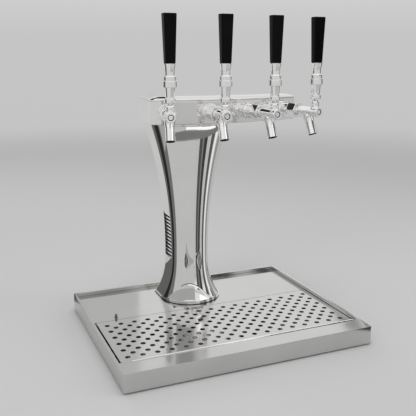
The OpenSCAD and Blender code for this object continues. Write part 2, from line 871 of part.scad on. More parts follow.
module faucet_body(i) {
    color(polished) at_tap(i) difference() {
        union() {
            turned([[0, washer_end], [body_flange_r, washer_end], [body_flange_r, body_flange_end],
                [arm_r, body_flange_end], [arm_r, arm_straight], [arm_end_r, lever_at - 6],
                [arm_end_r, tap_reach - ring_len - 1], [front_ring_r, tap_reach - ring_len],
                [front_ring_r, tap_reach - bevel], [front_ring_r - bevel, tap_reach], [0, tap_reach]]);
            translate([0, -lever_at, 0]) cylinder(r = neck_r, h = pivot_h);
            translate([0, -lever_at, pivot_h]) sphere(neck_r);
            spout_rod(spout_r, 0, spout_len);
        }
        rod(counterbore_r, washer_end - 1, seat_at);
        rod(seat_bore_r, seat_at - 1, chamber_start + 1);
        rod(chamber_r, chamber_start, chamber_end);
        rod(guide_r, chamber_end - 1, tap_reach + 1);
        spout_rod(spout_r - spout_wall, -1, spout_socket);
        spout_rod(channel_r, 0, spout_len);
        lever_slot();
        side_view(4 * neck_r) circle(pin_r + 0.4 * run);
    }
}

module plunger(i) {
    back = lever_at - groove_half;
    front = lever_at + groove_half;
    color(polished) at_tap(i) {
        rod(plunger_r, front, tap_reach - seat);
        rod(plunger_neck_r, back - eps, front + eps);
        rod(plunger_r, back - 6, back);
        rod(plunger_rod_r, seat_at - 1, back - 6 + eps);
        rod(seal_r, washer_end + seat, seat_at - 0.1);
    }
}

module lever_pins() {
    color(plain_steel) for (i = [1 : 4]) at_tap(i)
        translate([-pin_half, -lever_at, pivot_h]) rotate([0, 90, 0]) cylinder(r = pin_r, h = 2 * pin_half);
}

module faucet_lever(i) {
    color(polished) at_tap(i) {
        side_view(blade_t) difference() {
            union() {
                circle(eye_r);
                circle_at_finger();
                translate([-stem_down, -finger_arm]) square([2 * stem_down, finger_arm]);
                translate([-stem_up, 0]) square([2 * stem_up, collar_low - pivot_h + 1]);
            }
            circle(pin_r + run);
        }
        translate([0, -lever_at, 0]) rotate_extrude()
            polygon([[0, collar_low], [lever_collar_r - 1, collar_low], [lever_collar_r, collar_low + 1],
                [lever_collar_r, collar_high - 1], [lever_collar_r - 1, collar_high],
                [cone_low_r, collar_high], [cone_high_r, cone_high], [stud_r, cone_high],
                [stud_r, cone_high + stud_len],
                [0, cone_high + stud_len]]);
    }
}

module circle_at_finger() {
    translate([0, -finger_arm]) circle(finger_r);
}

module handle_ferrule(i) {
    low = cone_high;
    color(polished) at_tap(i) translate([0, -lever_at, low]) rotate_extrude()
        polygon([[stud_r + run, 0], [ferrule_band_r - bevel, 0], [ferrule_band_r, bevel],
            [ferrule_band_r, band_h - bevel], [ferrule_band_r - bevel, band_h],
            [ferrule_ring_r - bevel, band_h], [ferrule_ring_r - bevel, ring_low],
            [ferrule_ring_r, ring_low + bevel], [ferrule_ring_r, ring_high - bevel],
            [ferrule_ring_r - bevel, ring_high], [ferrule_neck_r, ring_high],
            [ferrule_top_r, ferrule_h], [spigot_r, ferrule_h], [spigot_r, ferrule_h + spigot_len],
            [0, ferrule_h + spigot_len], [0, stud_len + seat], [stud_r + run, stud_len + seat]]);
}

module grip_plan(w, d) {
    polygon([[-w / 2, -d / 2 + grip_bevel], [-w / 2 + grip_bevel, -d / 2], [w / 2 - grip_bevel, -d / 2],
        [w / 2, -d / 2 + grip_bevel], [w / 2, d / 2 - grip_bevel], [w / 2 - grip_bevel, d / 2],
        [-w / 2 + grip_bevel, d / 2], [-w / 2, d / 2 - grip_bevel]]);
}

module handle_grip(i) {
    color(black_grip) at_tap(i) translate([0, -lever_at, ferrule_high]) rotate([0, 0, -tap_angle(i)])
        difference() {
            hull() {
                linear_extrude(eps) grip_plan(grip_bottom_w, grip_bottom_d);
                translate([0, 0, grip_len - grip_bevel]) linear_extrude(eps)
                    grip_plan(grip_top_w, grip_top_d);
                translate([0, 0, grip_len - eps]) linear_extrude(eps)
                    grip_plan(grip_top_w - grip_bevel, grip_top_d - grip_bevel);
            }
            translate([0, 0, -1]) cylinder(r = spigot_r + run, h = spigot_len + 2);
        }
}

tray_pan();
tray_feet();
ledge_left();
ledge_right();
ledge_front();
cross_bar();
rear_deck();
drip_grille();
deck_lift_pin();
drain_bush();
line_grommet();
foot_gasket();
foot_ring();
base_plate();
pedestal_posts();
column_bolts();
column_shell();
mast();
head_mount_plate();
head_screws();
line_insulation();
head_shell();
head_lid();
lid_screws();
beer_line(1);  // beer_line_1
beer_line(2);  // beer_line_2
beer_line(3);  // beer_line_3
beer_line(4);  // beer_line_4
tap_shank(1);  // tap_shank_1
tap_shank(2);  // tap_shank_2
tap_shank(3);  // tap_shank_3
tap_shank(4);  // tap_shank_4
shank_locknuts();
coupling_washers();
lever_pins();
coupling_nut(1);  // coupling_nut_1
coupling_nut(2);  // coupling_nut_2
coupling_nut(3);  // coupling_nut_3
coupling_nut(4);  // coupling_nut_4
faucet_body(1);  // faucet_body_1
faucet_body(2);  // faucet_body_2
faucet_body(3);  // faucet_body_3
faucet_body(4);  // faucet_body_4
plunger(1);  // plunger_1
plunger(2);  // plunger_2
plunger(3);  // plunger_3
plunger(4);  // plunger_4
faucet_lever(1);  // faucet_lever_1
faucet_lever(2);  // faucet_lever_2
faucet_lever(3);  // faucet_lever_3
faucet_lever(4);  // faucet_lever_4
handle_ferrule(1);  // handle_ferrule_1
handle_ferrule(2);  // handle_ferrule_2
handle_ferrule(3);  // handle_ferrule_3
handle_ferrule(4);  // handle_ferrule_4
handle_grip(1);  // handle_grip_1
handle_grip(2);  // handle_grip_2
handle_grip(3);  // handle_grip_3
handle_grip(4);  // handle_grip_4
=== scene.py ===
"""Draft beer tower: its visible pieces, their finishes and a plain studio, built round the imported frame.

Pieces are drawn in millimetres in the part's own frame, and each mesh becomes metres when it is handed over. The
studio is in metres.
"""

import json
import logging
import math
from dataclasses import dataclass
from enum import Enum
from typing import Iterable, Sequence

import bmesh
import bpy
from bmesh.types import BMEdge, BMFace, BMVert
from mathutils import Matrix, Vector

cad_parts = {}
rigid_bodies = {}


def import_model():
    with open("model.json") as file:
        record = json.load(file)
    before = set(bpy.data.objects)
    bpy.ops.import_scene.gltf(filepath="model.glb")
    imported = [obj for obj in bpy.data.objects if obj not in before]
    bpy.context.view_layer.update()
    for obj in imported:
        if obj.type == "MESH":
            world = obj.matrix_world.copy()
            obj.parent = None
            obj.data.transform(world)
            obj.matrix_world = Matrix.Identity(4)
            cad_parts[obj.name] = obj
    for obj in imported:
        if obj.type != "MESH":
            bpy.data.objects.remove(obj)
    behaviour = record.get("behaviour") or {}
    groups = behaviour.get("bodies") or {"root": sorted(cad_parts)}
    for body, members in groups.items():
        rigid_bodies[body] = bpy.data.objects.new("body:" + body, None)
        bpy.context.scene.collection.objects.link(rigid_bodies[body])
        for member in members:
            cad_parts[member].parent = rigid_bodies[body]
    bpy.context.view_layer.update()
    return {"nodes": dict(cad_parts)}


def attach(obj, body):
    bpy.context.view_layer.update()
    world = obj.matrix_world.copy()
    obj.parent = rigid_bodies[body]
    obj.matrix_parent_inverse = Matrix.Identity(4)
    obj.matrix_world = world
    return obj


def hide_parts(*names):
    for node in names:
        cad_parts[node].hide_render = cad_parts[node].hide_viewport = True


for leftover in list(bpy.data.objects):
    bpy.data.objects.remove(leftover)
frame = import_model()

logging.basicConfig(level=logging.INFO, format="%(name)s: %(message)s")
log = logging.getLogger("tower")

MM = 0.001
WELD = 0.002
HARD_EDGE = math.radians(34)
TAPS = 4
Colour = tuple[float, float, float]
Point2 = tuple[float, float]
Turned = Sequence[tuple[float, ...]]


class Slot(Enum):
    """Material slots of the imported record."""

    POLISHED = "polished_steel"
    CHROME = "chrome"
    SATIN = "satin_steel"
    PLAIN = "plain_steel"
    RUBBER = "black_rubber"
    GRIP = "black_grip"
    FOAM = "foam"
    LINE = "line_plastic"


@dataclass(frozen=True)
class Finish:
    """A surface finish whose tint, roughness and relief follow a fine grain and slow clouds.

    The grain and the clouds are given in cells per metre, and the relief in metres.
    """

    name: str
    dark: Colour
    light: Colour
    metallic: float
    roughness: Point2
    grain: tuple[float, float, float]
    clouds: float
    grain_share: float
    relief: float
    specular: float = 0.5

    NOISE_SPAN = (0.3, 0.7)
    GRAIN_DETAIL = 2.0
    CLOUD_DETAIL = 3.0

    @staticmethod
    def noise(tree: bpy.types.NodeTree, place: bpy.types.NodeSocket, scale: float,
              detail: float) -> bpy.types.NodeSocket:
        """Add one noise pattern to a material.

        Args:
            tree: the material's nodes.
            place: the coordinates that it reads.
            scale: its cells for each unit of them.
            detail: its number of finer layers.

        Returns:
            The pattern's value.
        """
        noise = tree.nodes.new("ShaderNodeTexNoise")
        noise.inputs["Scale"].default_value = scale
        noise.inputs["Detail"].default_value = detail
        tree.links.new(place, noise.inputs["Vector"])
        return noise.outputs["Fac"]

    def material(self) -> bpy.types.Material:
        """Build the finish as a node material.

        Returns:
            The new material.
        """
        material = bpy.data.materials.new(self.name)
        material.use_nodes = True
        nodes, links = material.node_tree.nodes, material.node_tree.links
        shader = nodes["Principled BSDF"]
        shader.inputs["Metallic"].default_value = self.metallic
        shader.inputs["Specular IOR Level"].default_value = self.specular
        place = nodes.new("ShaderNodeTexCoord").outputs["Object"]
        stretch = nodes.new("ShaderNodeMapping")
        stretch.inputs["Scale"].default_value = self.grain
        links.new(place, stretch.inputs["Vector"])
        blend = nodes.new("ShaderNodeMix")
        blend.inputs["Factor"].default_value = self.grain_share
        links.new(self.noise(material.node_tree, place, self.clouds, self.CLOUD_DETAIL), blend.inputs["A"])
        links.new(self.noise(material.node_tree, stretch.outputs["Vector"], 1.0, self.GRAIN_DETAIL), blend.inputs["B"])
        tint = nodes.new("ShaderNodeValToRGB")
        for stop, position, colour in zip(tint.color_ramp.elements, self.NOISE_SPAN, (self.dark, self.light)):
            stop.position = position
            stop.color = (*colour, 1)
        links.new(blend.outputs["Result"], tint.inputs["Fac"])
        links.new(tint.outputs["Color"], shader.inputs["Base Color"])
        gloss = nodes.new("ShaderNodeMapRange")
        gloss.inputs["From Min"].default_value, gloss.inputs["From Max"].default_value = self.NOISE_SPAN
        gloss.inputs["To Min"].default_value, gloss.inputs["To Max"].default_value = self.roughness
        links.new(blend.outputs["Result"], gloss.inputs["Value"])
        links.new(gloss.outputs["Result"], shader.inputs["Roughness"])
        bump = nodes.new("ShaderNodeBump")
        bump.inputs["Strength"].default_value = 1.0
        bump.inputs["Distance"].default_value = self.relief
        links.new(blend.outputs["Result"], bump.inputs["Height"])
        links.new(bump.outputs["Normal"], shader.inputs["Normal"])
        return material


class Finishes:
    """The finish of each material slot, made once and shared by the pieces."""

    RECIPES = {
        Slot.POLISHED: Finish("mirror_steel", (0.79, 0.785, 0.77), (0.85, 0.845, 0.83), 1.0, (0.012, 0.03),
                              (22, 22, 9), 14, 0.3, 0.00001),
        Slot.CHROME: Finish("tap_chrome", (0.88, 0.875, 0.865), (0.94, 0.935, 0.925), 1.0, (0.015, 0.04),
                            (300, 300, 300), 60, 0.25, 0.000003),
        Slot.SATIN: Finish("brushed_steel", (0.60, 0.597, 0.585), (0.66, 0.657, 0.645), 1.0, (0.11, 0.16),
                           (8, 700, 700), 9, 0.35, 0.000003),
        # Plain steel is darkened well below bare steel: partly its own dull tone, partly painted shade that makes the
        # ledges under the grille read black.
        Slot.PLAIN: Finish("dull_steel_with_painted_shade", (0.20, 0.20, 0.20), (0.30, 0.30, 0.295), 1.0, (0.34, 0.5),
                           (240, 240, 240), 30, 0.5, 0.00001),
        Slot.RUBBER: Finish("black_rubber_moulding", (0.018, 0.018, 0.018), (0.035, 0.035, 0.036), 0.0, (0.6, 0.8),
                            (900, 900, 900), 60, 0.6, 0.00004),
        Slot.GRIP: Finish("black_handle_lacquer", (0.0025, 0.0025, 0.003), (0.005, 0.005, 0.0055), 0.0, (0.16, 0.24),
                          (1400, 1400, 700), 70, 0.5, 0.000004, specular=0.07),
        Slot.FOAM: Finish("closed_cell_foam", (0.02, 0.02, 0.021), (0.05, 0.05, 0.052), 0.0, (0.8, 0.95),
                          (700, 700, 700), 90, 0.7, 0.0003),
        Slot.LINE: Finish("milky_hose", (0.72, 0.74, 0.73), (0.86, 0.87, 0.86), 0.0, (0.28, 0.42),
                          (120, 120, 40), 50, 0.4, 0.00002),
    }

    def __init__(self) -> None:
        """Make every material."""
        self.materials = {slot: recipe.material() for slot, recipe in self.RECIPES.items()}

    def dress_node(self, node: bpy.types.Object) -> Slot:
        """Give a CAD node that stays visible the finish of its record slot.

        Args:
            node: the CAD node's object.

        Returns:
            The slot that was found on the node.
        """
        slot = Slot(node.data.materials[0].name.split(".")[0])
        node.data.materials[0] = self.materials[slot]
        return slot


def only(geom: Iterable[object], kind: type) -> list:
    """Pick the elements of one kind, such as BMVert, from an operator's result."""
    return [item for item in geom if isinstance(item, kind)]


def shifted(profile: Turned, radius: float = 0.0, height: float = 0.0) -> list[tuple[float, ...]]:
    """Move a profile's points outwards and along its axis, and keep their roundings."""
    return [(point[0] + radius, point[1] + height, *point[2:]) for point in profile]


class Blank:
    """One workpiece: a bmesh in millimetres, shaped with operators and handed over as a piece."""

    CORNER_STEPS = 3

    def __init__(self) -> None:
        """Start with an empty mesh."""
        self.bm = bmesh.new()

    def bevel(self, geom: Sequence[BMEdge | BMVert], offset: float, segments: int, corners: bool = False) -> None:
        """Round edges or corners evenly.

        Args:
            geom: the edges, or the vertices of the corners.
            offset: width of the bevel.
            segments: number of steps across it.
            corners: True where geom holds corners.
        """
        bmesh.ops.bevel(self.bm, geom=geom, offset=offset, offset_type="OFFSET", segments=segments, profile=0.5,
                        affect="VERTICES" if corners else "EDGES", clamp_overlap=True, material=-1)

    def chain(self, points: Turned, closed: bool = False) -> list[BMEdge]:
        """Lay a chain of edges in the XZ plane and round the corners that give a radius.

        Args:
            points: (radius, height) or (radius, height, rounding) of each corner, in order.
            closed: True joins the last corner to the first.

        Returns:
            The edges of the finished chain.
        """
        before = set(self.bm.edges)
        verts = [self.bm.verts.new((p[0], 0, p[1])) for p in points]
        for first, second in zip(verts, verts[1:]):
            self.bm.edges.new((first, second))
        if closed:
            self.bm.edges.new((verts[-1], verts[0]))
        for vert, point in zip(verts, points):
            if len(point) > 2:
                self.bevel([vert], point[2], self.CORNER_STEPS, corners=True)
        return [edge for edge in self.bm.edges if edge not in before]

    def turn(self, points: Turned, place: Matrix | None = None, closed: bool = False, steps: int = 48) -> None:
        """Turn a profile about its Z axis, as on a lathe, and put it in place.

        Args:
            points: the profile, as chain() takes it.
            place: where the turned form goes; none leaves it at the origin.
            closed: True for the profile of a ring.
            steps: number of steps round the axis.
        """
        known = set(self.bm.verts)
        edges = self.chain(points, closed)
        verts = list(dict.fromkeys(vert for edge in edges for vert in edge.verts))
        bmesh.ops.spin(self.bm, geom=verts + edges, cent=(0, 0, 0), axis=(0, 0, 1), dvec=(0, 0, 0),
                       angle=math.tau, steps=steps, use_merge=True, use_duplicate=False)
        bmesh.ops.remove_doubles(self.bm, verts=[v for v in self.bm.verts if v not in known], dist=WELD)
        if place is not None:
            bmesh.ops.transform(self.bm, matrix=place, verts=[v for v in self.bm.verts if v not in known])

    def join(self, other: "Blank") -> None:
        """Add another workpiece's mesh to this one.

        Args:
            other: the workpiece that is used up.
        """
        mesh = bpy.data.meshes.new("joined")
        other.bm.to_mesh(mesh)
        other.bm.free()
        self.bm.from_mesh(mesh)
        bpy.data.meshes.remove(mesh)

    def raise_face(self, face: BMFace, step: Vector, keep: bool) -> BMFace:
        """Extrude one face by a step.

        Args:
            face: the face to extrude.
            step: how far and which way.
            keep: True leaves the first face in place, as the other end of a closed form.

        Returns:
            The extruded face.
        """
        made = bmesh.ops.extrude_face_region(self.bm, geom=[face], use_keep_orig=True)["geom"]
        bmesh.ops.translate(self.bm, vec=step, verts=only(made, BMVert))
        if not keep:
            bmesh.ops.delete(self.bm, geom=[face], context="FACES_ONLY")
        return only(made, BMFace)[0]

    def soften(self, offset: float, segments: int = 2, angle: float = 40) -> None:
        """Bevel every edge that is sharper than an angle.

        Args:
            offset: width of the bevel.
            segments: number of steps across it.
            angle: least fold, in degrees, that counts as an edge.
        """
        bmesh.ops.remove_doubles(self.bm, verts=self.bm.verts, dist=WELD)
        bmesh.ops.recalc_face_normals(self.bm, faces=self.bm.faces)
        edges = [e for e in self.bm.edges if e.is_manifold and e.calc_face_angle(0) > math.radians(angle)]
        self.bevel(edges, offset, segments)

    def piece(self, name: str, body: str, slot: Slot, finishes: Finishes, nodes: Sequence[str],
              flats: bool = True) -> bpy.types.Object:
        """Hand the workpiece over as a finished object that rides on a body.

        Args:
            name: the piece's name.
            body: the CAD body that it moves with.
            slot: its material slot.
            finishes: the shared finishes.
            nodes: CAD nodes that it stands for; may be empty.
            flats: True keeps broad flat faces flat next to their rounded edges.

        Returns:
            The new object.
        """
        bm = self.bm
        bmesh.ops.remove_doubles(bm, verts=bm.verts, dist=WELD)
        bmesh.ops.recalc_face_normals(bm, faces=bm.faces)
        bmesh.ops.scale(bm, vec=(MM, MM, MM), verts=bm.verts)
        for face in bm.faces:
            face.smooth = True
        for edge in bm.edges:
            if edge.calc_face_angle(0) > HARD_EDGE:
                edge.smooth = False
        mesh = bpy.data.meshes.new(name)
        bm.to_mesh(mesh)
        bm.free()
        obj = bpy.data.objects.new(name, mesh)
        bpy.context.scene.collection.objects.link(obj)
        mesh.materials.append(finishes.materials[slot])
        if flats:
            obj.modifiers.new("flat_faces", "WEIGHTED_NORMAL").keep_sharp = True
        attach(obj, body)
        if nodes:
            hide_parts(*nodes)
        log.info("%s rides on %s, %d faces", name, body, len(mesh.polygons))
        return obj


def add_wall(obj: bpy.types.Object, thickness: float, inside_and_rim_material: int = 0) -> None:
    """Give an open skin its sheet thickness, inwards.

    Args:
        obj: the piece.
        thickness: the sheet's thickness in millimetres.
        inside_and_rim_material: which of the piece's materials covers the inside and the cut edges.
    """
    wall = obj.modifiers.new("sheet", "SOLIDIFY")
    wall.thickness = thickness * MM
    wall.offset = -1
    wall.use_even_offset = True
    wall.material_offset = wall.material_offset_rim = inside_and_rim_material


def round_edges(obj: bpy.types.Object, width: float, segments: int = 3, angle: float = 50) -> None:
    """Round a piece's edges with a live bevel that keeps its broad faces flat.

    Args:
        obj: the piece.
        width: width of the bevel in millimetres.
        segments: number of steps across it.
        angle: least fold, in degrees, that counts as an edge.
    """
    bevel = obj.modifiers.new("round_edges", "BEVEL")
    bevel.width = width * MM
    bevel.segments = segments
    bevel.limit_method = "ANGLE"
    bevel.angle_limit = math.radians(angle)
    bevel.harden_normals = True


def drilled_plate(outline: Sequence[Point2], spots: Iterable[Point2], bore: Turned, steps: int) -> Blank:
    """Make a flat plate with round holes that all have the same bore.

    Args:
        outline: corners of the plate, in order.
        spots: centres of the holes.
        bore: (radius, height) of a hole's wall from the plate's top to its underside.
        steps: number of steps round a hole.

    Returns:
        The plate as a workpiece.
    """
    blank = Blank()
    bm = blank.bm
    top, low = bore[0][1], bore[-1][1]
    blank.turn(bore, steps=steps)
    pattern = bm.verts[:] + bm.edges[:] + bm.faces[:]
    for spot in spots:
        copy = bmesh.ops.duplicate(bm, geom=pattern)["geom"]
        bmesh.ops.translate(bm, vec=(*spot, 0), verts=only(copy, BMVert))
    bmesh.ops.delete(bm, geom=only(pattern, BMVert), context="VERTS")
    loops = []
    for level in (top, low):
        corners = [bm.verts.new((x, y, level)) for x, y in outline]
        edge_loop = [bm.edges.new(pair) for pair in zip(corners, corners[1:] + corners[:1])]
        rims = [e for e in bm.edges if len(e.link_faces) == 1 and all(abs(v.co.z - level) < WELD for v in e.verts)]
        bmesh.ops.triangle_fill(bm, use_beauty=True, use_dissolve=False, edges=rims + edge_loop)
        loops += edge_loop
    bmesh.ops.bridge_loops(bm, edges=loops)
    return blank


@dataclass
class DripTray:
    """Pan, drip grille and the lip's bright edges."""

    width: float = 525.0
    depth: float = 424.0
    foot: float = 3.0
    height: float = 37.0
    rim: float = 5.0
    lip: float = 45.0
    floor: float = 5.0
    corner: float = 4.0
    corner_steps: int = 4
    edge: float = 2.0
    grille_left: float = -250.0
    grille_right: float = 256.0
    grille_front: float = -165.5
    grille_back: float = 41.5
    grille_top: float = 32.0
    grille_low: float = 30.0
    cut_left: float = 16.0
    cut_right: float = 10.0
    hole_r: float = 5.25
    hole_rim: float = 0.35
    hole_relief: float = 1.2
    hole_steps: int = 16
    hole_x: float = -232.2
    hole_pitch: float = 29.4
    row_y: float = 19.5
    row_pitch: float = 15.4
    rows: int = 11
    row_holes: int = 17
    hem_r: float = 2.0
    line_r: float = 1.4
    line_clear: float = 0.02
    bead_steps: int = 24

    RIM_SHARES = (0.3, 2.0, 2.5)
    BEAD_END = 0.98

    def build(self, finishes: Finishes) -> None:
        """Make the tray's pieces.

        Args:
            finishes: the shared finishes.
        """
        self.pan().piece("tray_sheet", "tower", Slot.SATIN, finishes, ["tray_pan"])
        self.grille().piece("grille_sheet", "grille", Slot.SATIN, finishes, ["drip_grille"])
        self.hem().piece("lip_hem", "tower", Slot.CHROME, finishes, [])

    def pan(self) -> Blank:
        """Draw the pan from one sheet: outer walls, rim, front lip and well.

        Returns:
            The pan as a workpiece.
        """
        blank = Blank()
        bm = blank.bm
        bmesh.ops.create_grid(bm, x_segments=1, y_segments=1, size=0.5)
        bmesh.ops.scale(bm, vec=(self.width, self.depth, 1), verts=bm.verts)
        bmesh.ops.translate(bm, vec=(0, 0, self.foot), verts=bm.verts)
        bm.faces.ensure_lookup_table()
        top = blank.raise_face(bm.faces[0], Vector((0, 0, self.height)), keep=True)
        bmesh.ops.recalc_face_normals(bm, faces=bm.faces)
        upright = [e for e in bm.edges if abs(e.verts[0].co.z - e.verts[1].co.z) > WELD]
        bmesh.ops.inset_region(bm, faces=[top], thickness=self.rim, depth=0, use_even_offset=True)
        front = [v for v in top.verts if v.co.y < 0]
        bmesh.ops.translate(bm, vec=(0, self.lip - self.rim, 0), verts=front)
        blank.raise_face(top, Vector((0, 0, self.floor - self.foot - self.height)), keep=False)
        blank.bevel(upright, self.corner, self.corner_steps)
        blank.soften(self.edge)
        return blank

    def hole_spots(self) -> list[Point2]:
        """List the centres of the grille's staggered holes.

        Returns:
            The centres, row by row from the back.
        """
        return [(self.hole_x + self.hole_pitch * (k + 0.5 * (row % 2)), self.row_y - self.row_pitch * row)
                for row in range(self.rows) for k in range(self.row_holes - row % 2)]

    def grille(self) -> Blank:
        """Punch the grille, with holes that open out below their rims.

        Returns:
            The grille as a workpiece.
        """
        left, right, front, back = self.grille_left, self.grille_right, self.grille_front, self.grille_back
        outline = [(left, back), (left, front + self.cut_left), (left + self.cut_left, front),
                   (right - self.cut_right, front), (right, front + self.cut_right), (right, back)]
        r, rim, top = self.hole_r, self.hole_rim, self.grille_top
        wide = r + self.hole_relief
        roll, land, under = (share * rim for share in self.RIM_SHARES)
        bore = [(r + rim, top), (r + roll, top - roll), (r, top - land), (wide, top - under), (wide, self.grille_low)]
        return drilled_plate(outline, self.hole_spots(), bore, self.hole_steps)

    def hem(self) -> Blank:
        """Roll the lip's bright edges: a hem along the inner one, between the cut corners, and the outer one.

        Returns:
            The two edges as one workpiece.
        """
        blank = Blank()
        top, front = self.foot + self.height, -self.depth / 2
        self.bead(blank, self.grille_left + self.cut_left, self.grille_right - self.cut_right,
                  front + self.lip - self.hem_r, top, self.hem_r)
        inset = self.line_r + self.line_clear
        self.bead(blank, self.corner - self.width / 2, self.width / 2 - self.corner, front + inset, top - inset,
                  self.line_r)
        return blank

    def bead(self, blank: Blank, left: float, right: float, y: float, z: float, radius: float) -> None:
        """Lay one round-ended bead along X.

        Args:
            blank: the workpiece that gets it.
            left: X of its left end.
            right: X of its right end.
            y: Y of its axis.
            z: height of its axis.
            radius: its radius.
        """
        length, round_end = right - left, self.BEAD_END * radius
        place = Matrix.Translation((left, y, z)) @ Matrix.Rotation(math.radians(90), 4, "Y")
        blank.turn([(0, 0), (radius, 0, round_end), (radius, length, round_end), (0, length)], place,
                   steps=self.bead_steps)


@dataclass
class Column:
    """Foot ring and flared shell with louvred flanks."""

    x: float = -7.0
    y: float = 125.0
    low: float = 36.5
    height: float = 404.5
    waist_r: float = 43.5
    foot_r: float = 69.0
    top_r: float = 90.0
    foot_flare: float = 104.0
    foot_power: float = 3.0
    foot_rings: int = 28
    waist_end: float = 110.0
    trumpet_power: float = 2.05
    trumpet_rings: int = 32
    front_steps: int = 64
    back: float = 48.0
    wall: float = 2.0
    back_bend: float = 5.0
    bend_steps: int = 5
    slots: int = 12
    slot_low: float = 91.0
    slot_pitch: float = 8.4
    slot_height: float = 4.4
    slot_front: float = 0.8
    slot_length: float = 40.2
    ring_r: float = 69.5
    ring_back: float = 48.5
    ring_low: float = 33.5
    ring_width: float = 5.0
    ring_edge: float = 1.1

    def radius(self, h: float) -> float:
        """Half width of the shell at a height above its foot.

        Args:
            h: height above the shell's lower edge.

        Returns:
            The radius of the round front there.
        """
        if h < self.waist_end:
            return self.waist_r + (self.foot_r - self.waist_r) * max(0.0, 1 - h / self.foot_flare) ** self.foot_power
        share = (h - self.waist_end) / (self.height - self.waist_end)
        return self.waist_r + (self.top_r - self.waist_r) * share ** self.trumpet_power

    def levels(self) -> list[float]:
        """Heights of the shell's rings, with one at each edge of a louvre slot.

        Returns:
            The heights, rising.
        """
        flare = [self.slot_low * k / self.foot_rings for k in range(self.foot_rings)]
        slots = [self.slot_low + self.slot_pitch * k + edge
                 for k in range(self.slots) for edge in (0.0, self.slot_height)]
        rise = self.height - slots[-1]
        trumpet = [slots[-1] + rise * k / self.trumpet_rings for k in range(1, self.trumpet_rings + 1)]
        return flare + slots + trumpet

    def wrap(self, blank: Blank, profile: Turned, steps_back: Sequence[float]) -> None:
        """Carry a profile round the front half, back along both flanks and across the back, with bent corners.

        Args:
            blank: the workpiece.
            profile: (radius, height) of the chain that is carried round.
            steps_back: distances behind the centre at which the flanks have edges.
        """
        bm = blank.bm
        edges = blank.chain(profile)
        verts = list(dict.fromkeys(vert for edge in edges for vert in edge.verts))
        far = bmesh.ops.spin(bm, geom=verts + edges, cent=(0, 0, 0), axis=(0, 0, 1), dvec=(0, 0, 0),
                             angle=-math.pi, steps=self.front_steps, use_merge=False,
                             use_duplicate=False)["geom_last"]
        corners = []
        for side in (edges, only(far, BMEdge)):
            reached = 0.0
            for distance in steps_back:
                made = bmesh.ops.extrude_edge_only(bm, edges=side)["geom"]
                moved = only(made, BMVert)
                bmesh.ops.translate(bm, vec=(0, distance - reached, 0), verts=moved)
                side = [e for e in only(made, BMEdge) if all(v in moved for v in e.verts)]
                reached = distance
            corners += side
        bmesh.ops.bridge_loops(bm, edges=corners)
        blank.bevel(corners, self.back_bend, self.bend_steps)

    def shell(self) -> Blank:
        """Form the shell and cut its louvres.

        Returns:
            The shell's outer skin as a workpiece.
        """
        blank = Blank()
        bm = blank.bm
        profile = [(self.radius(h), h) for h in self.levels()]
        slot_back = self.slot_front + self.slot_length
        self.wrap(blank, profile, [self.slot_front, slot_back, self.back])
        bmesh.ops.delete(bm, geom=[f for f in bm.faces if self.in_slot(f)], context="FACES")
        bmesh.ops.translate(bm, vec=(self.x, self.y, self.low), verts=bm.verts)
        return blank

    def in_slot(self, face: BMFace) -> bool:
        """Tell whether a face of the flank lies inside a louvre slot.

        Args:
            face: a face of the shell, before it is put in place.

        Returns:
            True where the slot is to be open.
        """
        middle = face.calc_center_median()
        step, within = divmod(middle.z - self.slot_low, self.slot_pitch)
        along = self.slot_front < middle.y < self.slot_front + self.slot_length
        return along and 0 <= step < self.slots and within < self.slot_height

    def ring(self) -> Blank:
        """Form the foot ring that covers the shell's lower edge.

        Returns:
            The ring's outer skin as a workpiece.
        """
        blank = Blank()
        self.wrap(blank, [(self.ring_r, 0), (self.ring_r, self.low - self.ring_low)], [self.ring_back])
        bmesh.ops.translate(blank.bm, vec=(self.x, self.y, self.ring_low), verts=blank.bm.verts)
        return blank

    def build(self, finishes: Finishes) -> None:
        """Make the column's pieces.

        Args:
            finishes: the shared finishes.
        """
        shell = self.shell().piece("column_skin", "tower", Slot.POLISHED, finishes, ["column_shell"], flats=False)
        # Black foam covers the shell's inside and the cut edges of its louvres: partly the foam behind the sheet,
        # partly painted shade that makes the louvre slots read black.
        shell.data.materials.append(finishes.materials[Slot.FOAM])
        add_wall(shell, self.wall, inside_and_rim_material=1)
        ring = self.ring().piece("foot_band", "tower", Slot.POLISHED, finishes, ["foot_ring"], flats=False)
        add_wall(ring, self.ring_width)
        round_edges(ring, self.ring_edge)


